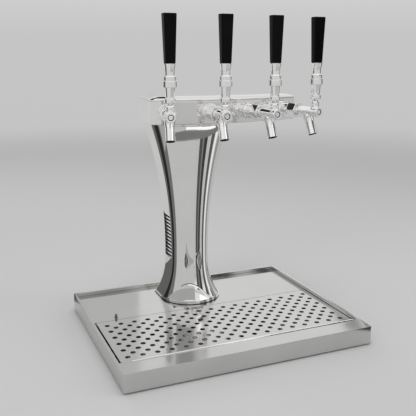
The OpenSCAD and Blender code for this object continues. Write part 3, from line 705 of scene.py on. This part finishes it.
@dataclass
class Head:
    """Bow-front box and its crowned lid."""

    x: float = 48.5
    bow_y: float = 547.0
    bow_r: float = 524.0
    bow_steps: int = 40
    half_front: float = 168.5
    half_back: float = 150.5
    back: float = 173.0
    low: float = 441.0
    top: float = 489.0
    lid_edge: float = 2.0
    crown: float = 6.5
    slope: float = 26.0
    slope_steps: int = 7
    slope_power: float = 2.3
    edge: float = 0.9
    seam: float = 0.4

    def outline(self, blank: Blank, height: float, inset: float) -> list[BMEdge]:
        """Lay one closed outline of the head: bowed front, slanted ends and straight back.

        Args:
            blank: the workpiece that gets the outline.
            height: its level.
            inset: how far it lies inside the head's outer faces.

        Returns:
            The outline's edges.
        """
        bm = blank.bm
        known = set(bm.edges)
        radius = self.bow_r - inset
        corner = Vector((self.half_front, self.bow_y - math.sqrt(self.bow_r ** 2 - self.half_front ** 2)))
        along = (Vector((self.half_back, self.back)) - corner).normalized()
        start = corner + inset * Vector((-along.y, along.x)) - Vector((0, self.bow_y))
        reach = start.dot(along)
        front = start - along * (reach + math.sqrt(reach ** 2 - start.length_squared + radius ** 2))
        rear = start + along * (self.back - inset - self.bow_y - start.y) / along.y
        half = math.atan2(front.x, -front.y)
        centre = Vector((self.x, self.bow_y, height))
        first = bm.verts.new(centre + Vector((-front.x, front.y, 0)))
        arc = bmesh.ops.spin(bm, geom=[first], cent=centre, axis=(0, 0, 1), dvec=(0, 0, 0), angle=2 * half,
                             steps=self.bow_steps, use_merge=False, use_duplicate=False)["geom_last"]
        last = only(arc, BMVert)[0]
        left, right = (bm.verts.new(centre + Vector((side * rear.x, rear.y, 0))) for side in (-1, 1))
        for pair in ((first, left), (left, right), (right, last)):
            bm.edges.new(pair)
        return [edge for edge in bm.edges if edge not in known and edge.verts[0].co.z == edge.verts[1].co.z]

    def stack(self, levels: Sequence[Point2]) -> Blank:
        """Raise a closed form through outlines that lie above each other.

        Args:
            levels: (height, inset) of each outline, rising.

        Returns:
            The form as a workpiece.
        """
        blank = Blank()
        loops = [self.outline(blank, height, inset) for height, inset in levels]
        for lower, upper in zip(loops, loops[1:]):
            bmesh.ops.bridge_loops(blank.bm, edges=lower + upper)
        for loop in (loops[0], loops[-1]):
            bmesh.ops.contextual_create(blank.bm, geom=loop)
        return blank

    def box(self) -> Blank:
        """Fold the box below the lid.

        Returns:
            The box as a workpiece.
        """
        blank = self.stack([(self.low, 0), (self.top, 0)])
        blank.soften(self.edge)
        return blank

    def lid(self) -> Blank:
        """Press the lid: a thin edge and a crown that rises in a soft slope.

        Returns:
            The lid as a workpiece.
        """
        shoulder = self.top + self.lid_edge
        shares = [k / self.slope_steps for k in range(self.slope_steps + 1)]
        blank = self.stack([(self.top, 0.0)] + [
            (shoulder + self.crown * (1 - (1 - share) ** self.slope_power), self.slope * share) for share in shares])
        blank.soften(self.seam)
        return blank

    def build(self, finishes: Finishes) -> None:
        """Make the head's pieces.

        Args:
            finishes: the shared finishes.
        """
        self.box().piece("head_box", "tower", Slot.POLISHED, finishes, ["head_shell"])
        self.lid().piece("head_cover", "tower", Slot.POLISHED, finishes, ["head_lid"])


@dataclass
class Tap:
    """One tap: shank and nut on the panel, the body's trim, the seal round the plunger's nose, a black cup in the
    spout's mouth that is painted shade, plunger, lever, ferrule and grip.

    Its turned profiles are written as Blank.chain() takes them, along the tap's axis, the lever or the spout.
    """

    number: int
    axis_z: float = 465.0
    step: float = 10.0
    reach: float = 106.0
    lever_at: float = 94.0
    pivot: float = 18.0
    nut_r: float = 17.5
    nut_bevel: float = 1.1
    bore_steps: int = 36
    spout_at: float = 90.0
    spout_drop: float = 47.0
    spout_lean: float = 22.0
    spout_r: float = 9.5
    blade: Point2 = (5.0, 6.0)
    blade_low: float = 2.0
    blade_sink: float = 1.0
    blade_bevel: float = 1.2
    collar_low: float = 26.5
    cone_high: float = 55.5
    ferrule_high: float = 99.5
    grip_length: float = 90.5
    grip_low: Point2 = (20.0, 13.0)
    grip_top: Point2 = (25.5, 16.5)
    grip_bevel: float = 2.0

    SHANK = ((3.2, -50), (4.75, -50, 0.5), (4.75, -30), (11, -30, 0.8), (11, 0), (18, 0), (18, 5, 1.2), (15, 5),
             (15, 24, 0.8), (13, 24), (13, 38), (8, 38), (8, 26), (3.2, 26))
    NUT_BORE = ((11.2, 47.2), (10.65, 46.6), (10.65, 43.2), (13.05, 43.2), (13.05, 24.6))
    BEZEL = ((10.05, -8.2), (10.55, -7.4), (10.55, -0.9, 0.7), (9.4, 0.25, 0.4), (7.6, 0.25, 0.3), (6.6, -1.4),
             (6.6, -8.2))
    NECK_FILLET = ((8.02, 14.5), (8.3, 10.5), (8.9, 8.4), (10.2, 6.8), (9.0, 5.0), (7.4, 5.0), (7.4, 14.5))
    SPOUT_FILLET = ((0.02, 27), (0.5, 32), (1.4, 36), (2.6, 38.6), (1.0, 41), (-1.2, 41), (-1.2, 27))
    NOSE_SEAL = ((4.75, -5.3), (6.55, -5.3), (6.55, -1.6, 0.4), (4.75, -1.6, 0.4))
    # A black cup in the spout's mouth: painted shade for the dark inside of the spout.
    SPOUT_SHADE_CUP = ((0, 23), (7.9, 23), (7.9, 0.02), (9, -0.02), (9, -0.3, 0.1), (7.6, -0.3, 0.2), (7.6, 22.7),
                   (0, 22.7))
    PLUNGER = ((0, 40.5), (6.8, 40.5, 0.4), (6.8, 44.9, 0.4), (2.4, 44.9), (2.4, 84.3), (5.95, 84.3), (5.95, 90.3),
               (2.2, 90.3), (2.2, 97.7), (5.95, 97.7), (5.95, 100.5), (4.7, 100.5), (4.7, 105, 0.3),
               (4.2, 105.5, 0.3), (0, 105.5))
    COLLAR = ((0, 0), (10.8, 0, 1.3), (10.8, 9, 1.3), (8.75, 9), (9.1, 10.2), (8.6, 11.4))
    STUD = ((9.9, 0), (4.7, 0), (4.7, 14, 0.6), (0, 14))
    FERRULE = ((0, 14.5), (4.75, 14.5), (4.75, 0), (13.5, 0, 1.4), (13.5, 12.6, 1.2), (11.3, 12.6), (11.3, 13.4),
               (12.3, 13.4, 1.0), (12.3, 21.1, 1.6), (9.0, 21.6, 1.0), (9.3, 30), (10.1, 37), (11.7, 43.2, 0.4),
               (11.7, 44), (5, 44), (5, 62, 0.6), (0, 62))

    @property
    def angle(self) -> float:
        """Turn of the tap away from straight ahead, in radians."""
        return math.radians((self.number - (TAPS + 1) / 2) * self.step)

    @property
    def place(self) -> Matrix:
        """Frame on the panel: -Y leaves the panel along the tap's axis and Z is up."""
        spot = (Head.x + Head.bow_r * math.sin(self.angle), Head.bow_y - Head.bow_r * math.cos(self.angle), self.axis_z)
        return Matrix.Translation(spot) @ Matrix.Rotation(self.angle, 4, "Z")

    @property
    def axle(self) -> Matrix:
        """Frame whose Z axis runs forward along the tap's axis."""
        return self.place @ Matrix.Rotation(math.radians(90), 4, "X")

    @property
    def stem(self) -> Matrix:
        """Frame whose Z axis runs up the lever."""
        return self.place @ Matrix.Translation((0, -self.lever_at, 0))

    @property
    def spout(self) -> Matrix:
        """Frame in the spout's mouth whose Z axis runs up the spout."""
        mouth = Matrix.Translation((0, -self.spout_at, -self.spout_drop))
        return self.place @ mouth @ Matrix.Rotation(math.radians(-self.spout_lean), 4, "X")

    def build(self, finishes: Finishes) -> None:
        """Make the tap's pieces.

        Args:
            finishes: the shared finishes.
        """
        n, lever, chrome = self.number, f"lever_{self.number}", Slot.CHROME
        self.shank().piece(f"shank_{n}", "tower", chrome, finishes, [f"tap_shank_{n}"])
        self.nut().piece(f"hex_nut_{n}", "tower", chrome, finishes, [f"coupling_nut_{n}"])
        self.trim().piece(f"tap_trim_{n}", "tower", chrome, finishes, [])
        self.seals().piece(f"tap_seals_{n}", "tower", Slot.RUBBER, finishes, [])
        self.nose().piece(f"tap_nose_{n}", f"plunger_{n}", chrome, finishes, [f"plunger_{n}"])
        self.lever().piece(f"tap_lever_{n}", lever, chrome, finishes, [f"faucet_lever_{n}"])
        self.ferrule().piece(f"ferrule_{n}", lever, chrome, finishes, [f"handle_ferrule_{n}"])
        self.grip().piece(f"grip_{n}", lever, Slot.GRIP, finishes, [f"handle_grip_{n}"])

    def shank(self) -> Blank:
        """Turn the shank: flange on the panel, collar, thread, and its tail inside the head.

        Returns:
            The shank as a workpiece.
        """
        blank = Blank()
        blank.turn(self.SHANK, self.axle, closed=True)
        return blank

    def nut(self) -> Blank:
        """Cut the hexagonal coupling nut with its stepped bore.

        Returns:
            The nut as a workpiece.
        """
        corners = [(self.nut_r * math.cos(math.radians(60 * k)), self.nut_r * math.sin(math.radians(60 * k)))
                   for k in range(6)]
        blank = drilled_plate(corners, [(0, 0)], self.NUT_BORE, self.bore_steps)
        outer = [e for e in blank.bm.edges if all(v.co.xy.length > self.nut_r - WELD for v in e.verts)]
        bmesh.ops.recalc_face_normals(blank.bm, faces=blank.bm.faces)
        blank.bevel(outer, self.nut_bevel, segments=3)
        bmesh.ops.transform(blank.bm, matrix=self.axle, verts=blank.bm.verts)
        return blank

    def trim(self) -> Blank:
        """Turn the body's raised trim: front bezel, and the fillets of the neck and the spout.

        Returns:
            The trim as a workpiece.
        """
        blank = Blank()
        blank.turn(shifted(self.BEZEL, height=self.reach), self.axle, closed=True)
        blank.turn(self.NECK_FILLET, self.stem, closed=True)
        blank.turn(shifted(self.SPOUT_FILLET, radius=self.spout_r), self.spout, closed=True)
        return blank

    def seals(self) -> Blank:
        """Turn the black parts: the seal round the plunger's nose, and a black cup in the spout's mouth, painted shade
        that stands in for the dark inside of the spout.

        Returns:
            The seal and the shade cup as one workpiece.
        """
        blank = Blank()
        blank.turn(shifted(self.NOSE_SEAL, height=self.reach), self.axle, closed=True, steps=self.bore_steps)
        blank.turn(self.SPOUT_SHADE_CUP, self.spout, steps=self.bore_steps)
        return blank

    def nose(self) -> Blank:
        """Turn the plunger: stepped nose in the front bezel, groove for the lever's finger, rod and piston.

        Returns:
            The plunger as a workpiece.
        """
        blank = Blank()
        blank.turn(self.PLUNGER, self.axle, steps=self.bore_steps)
        return blank

    def lever(self) -> Blank:
        """Form the lever: blade on the cross pin, collar, cone and stud.

        Returns:
            The lever as a workpiece.
        """
        blank = Blank()
        blank.turn(shifted(self.COLLAR, height=self.collar_low) + shifted(self.STUD, height=self.cone_high), self.stem)
        blade = Blank()
        foot, head = self.pivot - self.blade_low, self.collar_low + self.blade_sink
        bmesh.ops.create_cube(blade.bm, size=1.0)
        bmesh.ops.scale(blade.bm, vec=(*self.blade, head - foot), verts=blade.bm.verts)
        blade.soften(self.blade_bevel, segments=3)
        bmesh.ops.translate(blade.bm, vec=(0, 0, (head + foot) / 2), verts=blade.bm.verts)
        bmesh.ops.transform(blade.bm, matrix=self.stem, verts=blade.bm.verts)
        blank.join(blade)
        return blank

    def ferrule(self) -> Blank:
        """Turn the ferrule: broad band, ring and a neck that flares into the grip.

        Returns:
            The ferrule as a workpiece.
        """
        blank = Blank()
        blank.turn(self.FERRULE, self.stem @ Matrix.Translation((0, 0, self.cone_high)))
        return blank

    def grip(self) -> Blank:
        """Carve the grip: a tapered bar with rounded edges that faces straight ahead.

        Returns:
            The grip as a workpiece.
        """
        blank = Blank()
        bm = blank.bm
        bmesh.ops.create_grid(bm, x_segments=1, y_segments=1, size=0.5)
        bmesh.ops.scale(bm, vec=(*self.grip_low, 1), verts=bm.verts)
        bm.faces.ensure_lookup_table()
        top = blank.raise_face(bm.faces[0], Vector((0, 0, self.grip_length)), keep=True)
        spread = (self.grip_top[0] / self.grip_low[0], self.grip_top[1] / self.grip_low[1], 1)
        bmesh.ops.scale(bm, vec=spread, verts=top.verts[:])
        blank.soften(self.grip_bevel, segments=4)
        place = self.stem @ Matrix.Translation((0, 0, self.ferrule_high)) @ Matrix.Rotation(-self.angle, 4, "Z")
        bmesh.ops.transform(bm, matrix=place, verts=bm.verts)
        return blank


@dataclass(frozen=True)
class PaintedReflectionCard:
    """A bent sheet round the column that glows with its tone and that only mirror surfaces see: a painted reflection,
    bright or dark.

    The sheet spans from one azimuth to another, in degrees from straight ahead, and from one (distance, height)
    to another, in metres from the column's axis and from the floor. A bowed sheet climbs to both sides of the
    camera's bearing, in metres for each degree squared.
    """

    start: float
    end: float
    tone: float
    low: Point2
    high: Point2
    bow: float = 0.0


@dataclass
class Studio:
    """Pale floor, soft lamps, glowing cards that paint reflections, and the camera."""

    floor_reach: float = 9.0
    floor_sides: int = 64
    floor_tone: float = 0.66
    fade: Point2 = (1.6, 4.5)
    fill: float = 0.50
    sky_blue: float = 1.01
    lamp_aim: tuple[float, float, float] = (0.0, 0.0, 0.3)
    card_steps: int = 24
    card_axis: tuple[float, float, float] = (-0.007, 0.125, 0.0)
    camera_spot: tuple[float, float, float] = (-0.524, -1.2035, 0.580)
    camera_tilt: float = 13.42
    camera_turn: float = -23.02
    lens: float = 55.47
    sensor: float = 36.0

    # Share of the way from straight down to straight up, and the tone there.
    SKY = ((0.0, 0.52), (0.515, 0.56), (0.56, 0.66), (0.60, 0.82), (0.69, 0.90), (0.80, 0.80), (1.0, 1.0))
    # Name, place, width and height, and power in watts.
    LAMPS = (
        ("overhead_lamp", (0.1, -0.2, 2.6), (2.2, 1.8), 20),
        ("front_left_lamp", (-2.0, -1.5, 1.5), (0.9, 1.6), 9),
        ("right_lamp", (2.1, -0.9, 1.3), (0.6, 1.7), 6),
        ("back_lamp", (-0.6, 2.2, 1.6), (1.4, 1.0), 6),
    )
    INNER_STRIPES = ((0.50, 0.0), (0.53, 0.26))
    RIGHT_STRIPES = ((0.34, 0.0), (0.52, 0.26))
    LEFT_STRIPES = ((0.30, 0.0), (0.52, 0.28))
    TAP_SIDES = ((0.90, 0.20), (0.90, 0.555))
    ARC_BOW = 0.0000106
    PAINTED_REFLECTION_CARDS = (
        # Painted reflections: upright light and dark stripes on the column, right of its middle and along its left
        # edge.
        PaintedReflectionCard(17, 27, 0.09, *INNER_STRIPES),
        PaintedReflectionCard(27, 33, 0.20, *INNER_STRIPES),
        PaintedReflectionCard(33, 44, 0.05, *INNER_STRIPES),
        PaintedReflectionCard(57, 69, 0.10, *RIGHT_STRIPES),
        PaintedReflectionCard(72, 81, 0.95, *RIGHT_STRIPES),
        PaintedReflectionCard(85, 99, 0.32, *RIGHT_STRIPES),
        PaintedReflectionCard(-118, -99, 0.17, *LEFT_STRIPES),
        PaintedReflectionCard(-136, -118, 0.025, *LEFT_STRIPES),
        PaintedReflectionCard(-153, -136, 0.13, *LEFT_STRIPES),
        # Painted reflection on the flat left ends of the head and the column.
        PaintedReflectionCard(-185, -156, 0.63, (0.60, 0.0), (0.60, 0.60)),
        # Painted dark reflections on the sides of the ferrules, nuts and grips.
        PaintedReflectionCard(73, 104, 0.06, *TAP_SIDES),
        PaintedReflectionCard(34, 72, 0.13, (0.55, 0.54), (0.55, 0.70)),
        PaintedReflectionCard(-112, -84, 0.13, (0.90, 0.575), (0.90, 0.75)),
        PaintedReflectionCard(-130, -86, 0.12, *TAP_SIDES),
        # Painted highlight on the left side of the foot.
        PaintedReflectionCard(-140, -118, 1.10, (0.43, 0.31), (0.43, 0.48)),
        # Painted reflections on the head's panel and the fronts of the taps.
        PaintedReflectionCard(-75, -12, 0.66, (0.92, 0.10), (0.92, 0.555)),
        PaintedReflectionCard(-12, 50, 0.64, (0.92, 0.435), (0.92, 0.555)),
        # Painted reflections on the middle of the column, the front of its foot and of the tray.
        PaintedReflectionCard(-112, 3, 0.42, (0.40, 0.20), (0.40, 0.38)),
        PaintedReflectionCard(-99, 3, 0.58, (0.46, 0.0), (0.46, 0.24)),
        # Painted highlight on the spouts from above, and painted dark reflection on the tops of the shanks.
        PaintedReflectionCard(26, 62, 1.50, (0.80, 1.2), (1.90, 1.2)),
        PaintedReflectionCard(163, 225, 0.03, (0.45, 0.71), (0.45, 1.10)),
        # Painted bright and dark reflected arcs on the column under the head.
        PaintedReflectionCard(-27, 64, 1.20, (0.40, 0.157), (0.40, 0.168), ARC_BOW),
        PaintedReflectionCard(-62, 84, 0.20, (0.40, 0.146), (0.40, 0.157), ARC_BOW),
    )

    def build(self) -> None:
        """Set up the whole studio."""
        self.floor()
        self.sky()
        for lamp in self.LAMPS:
            self.lamp(*lamp)
        for number, card in enumerate(self.PAINTED_REFLECTION_CARDS, 1):
            self.card(number, card)
        self.camera()
        bpy.context.scene.view_settings.view_transform = "Standard"

    def floor(self) -> None:
        """Lay the floor, which fades into the background far from the object."""
        mesh = bpy.data.meshes.new("studio_floor")
        bm = bmesh.new()
        bmesh.ops.create_circle(bm, cap_ends=True, segments=self.floor_sides, radius=self.floor_reach)
        bm.to_mesh(mesh)
        bm.free()
        material = bpy.data.materials.new("pale_floor")
        material.use_nodes = True
        nodes, links = material.node_tree.nodes, material.node_tree.links
        shader = nodes["Principled BSDF"]
        shader.inputs["Base Color"].default_value = (self.floor_tone, self.floor_tone, self.floor_tone, 1)
        shader.inputs["Specular IOR Level"].default_value = 0.0
        away = nodes.new("ShaderNodeVectorMath")
        away.operation = "LENGTH"
        links.new(nodes.new("ShaderNodeTexCoord").outputs["Object"], away.inputs[0])
        share = nodes.new("ShaderNodeMapRange")
        share.interpolation_type = "SMOOTHSTEP"
        share.inputs["From Min"].default_value, share.inputs["From Max"].default_value = self.fade
        links.new(away.outputs["Value"], share.inputs["Value"])
        mix = nodes.new("ShaderNodeMixShader")
        links.new(share.outputs["Result"], mix.inputs["Fac"])
        links.new(shader.outputs["BSDF"], mix.inputs[1])
        links.new(nodes.new("ShaderNodeBsdfTransparent").outputs["BSDF"], mix.inputs[2])
        links.new(mix.outputs["Shader"], nodes["Material Output"].inputs["Surface"])
        floor = bpy.data.objects.new("studio_floor", mesh)
        mesh.materials.append(material)
        bpy.context.scene.collection.objects.link(floor)

    def sky(self) -> None:
        """Make the background, shaded by height alike for camera, mirrors and glass, and dimmer as a light."""
        world = bpy.data.worlds.new("studio_sky")
        world.use_nodes = True
        bpy.context.scene.world = world
        nodes, links = world.node_tree.nodes, world.node_tree.links
        height = nodes.new("ShaderNodeSeparateXYZ")
        links.new(nodes.new("ShaderNodeTexCoord").outputs["Generated"], height.inputs["Vector"])
        level = nodes.new("ShaderNodeMapRange")
        level.inputs["From Min"].default_value = -1.0
        links.new(height.outputs["Z"], level.inputs["Value"])
        shade = nodes.new("ShaderNodeValToRGB")
        links.new(level.outputs["Result"], shade.inputs["Fac"])
        ramp = shade.color_ramp
        for position, _ in self.SKY[1:-1]:
            ramp.elements.new(position)
        for element, (_, tone) in zip(ramp.elements, self.SKY):
            element.color = (tone, tone, self.sky_blue * tone, 1)
        path = nodes.new("ShaderNodeLightPath")
        seen = path.outputs["Is Camera Ray"]
        for kind in ("Is Glossy Ray", "Is Transmission Ray"):
            either = nodes.new("ShaderNodeMath")
            either.operation = "MAXIMUM"
            links.new(seen, either.inputs[0])
            links.new(path.outputs[kind], either.inputs[1])
            seen = either.outputs["Value"]
        mix = nodes.new("ShaderNodeMix")
        mix.data_type = "RGBA"
        mix.inputs["A"].default_value = (self.fill, self.fill, self.fill, 1)
        links.new(seen, mix.inputs["Factor"])
        links.new(shade.outputs["Color"], mix.inputs["B"])
        links.new(mix.outputs["Result"], nodes["Background"].inputs["Color"])

    def lamp(self, name: str, spot: Sequence[float], size: Point2, power: float) -> None:
        """Hang one soft lamp that looks at the object's middle and that mirror surfaces don't show.

        Args:
            name: the lamp's name.
            spot: its place in metres.
            size: its width and height in metres.
            power: its power in watts.
        """
        light = bpy.data.lights.new(name, "AREA")
        light.shape = "RECTANGLE"
        light.size, light.size_y = size
        light.energy = power
        lamp = bpy.data.objects.new(name, light)
        lamp.location = spot
        lamp.rotation_euler = (Vector(self.lamp_aim) - Vector(spot)).to_track_quat("-Z", "Y").to_euler()
        lamp.visible_glossy = False
        bpy.context.scene.collection.objects.link(lamp)

    def card(self, number: int, card: PaintedReflectionCard) -> None:
        """Stand one glowing card where only reflections see it, as a painted reflection.

        Args:
            number: its place in the list.
            card: its span and tone.
        """
        name = f"painted_reflection_card_{number}"
        mesh = bpy.data.meshes.new(name)
        bm = bmesh.new()
        edge = bm.edges.new([bm.verts.new((0, -distance, height)) for distance, height in (card.low, card.high)])
        bmesh.ops.rotate(bm, cent=(0, 0, 0), matrix=Matrix.Rotation(math.radians(card.start), 3, "Z"), verts=bm.verts)
        bmesh.ops.spin(bm, geom=[*edge.verts, edge], cent=(0, 0, 0), axis=(0, 0, 1), dvec=(0, 0, 0),
                       angle=math.radians(card.end - card.start), steps=self.card_steps, use_merge=False,
                       use_duplicate=False)
        for vert in bm.verts:
            bearing = math.degrees(math.atan2(vert.co.x, -vert.co.y))
            vert.co.z += card.bow * (bearing - self.camera_turn) ** 2
        bmesh.ops.translate(bm, vec=self.card_axis, verts=bm.verts)
        bm.to_mesh(mesh)
        bm.free()
        material = bpy.data.materials.new(name)
        material.use_nodes = True
        nodes, links = material.node_tree.nodes, material.node_tree.links
        # The card glows with its tone, bright or dark: a painted reflection that only mirrors show.
        glow = nodes.new("ShaderNodeEmission")
        glow.inputs["Color"].default_value = (card.tone, card.tone, card.tone, 1)
        links.new(glow.outputs["Emission"], nodes["Material Output"].inputs["Surface"])
        mesh.materials.append(material)
        obj = bpy.data.objects.new(name, mesh)
        obj.visible_camera = obj.visible_diffuse = obj.visible_shadow = obj.visible_transmission = False
        bpy.context.scene.collection.objects.link(obj)

    def camera(self) -> None:
        """Stand the camera where the photograph was taken from."""
        data = bpy.data.cameras.new("photo_camera")
        data.lens = self.lens
        data.sensor_width = self.sensor
        camera = bpy.data.objects.new("photo_camera", data)
        camera.location = self.camera_spot
        camera.rotation_euler = (math.radians(90 - self.camera_tilt), 0, math.radians(self.camera_turn))
        bpy.context.scene.collection.objects.link(camera)
        bpy.context.scene.camera = camera


def main() -> None:
    """Build every sub-assembly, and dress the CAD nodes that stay."""
    finishes = Finishes()
    DripTray().build(finishes)
    Column().build(finishes)
    Head().build(finishes)
    for number in range(1, TAPS + 1):
        Tap(number).build(finishes)
    for name, node in sorted(frame["nodes"].items()):
        if not node.hide_render:
            log.info("%s keeps its solid, with the finish %s", name, finishes.dress_node(node).value)
    Studio().build()


if __name__ == "__main__":
    main()
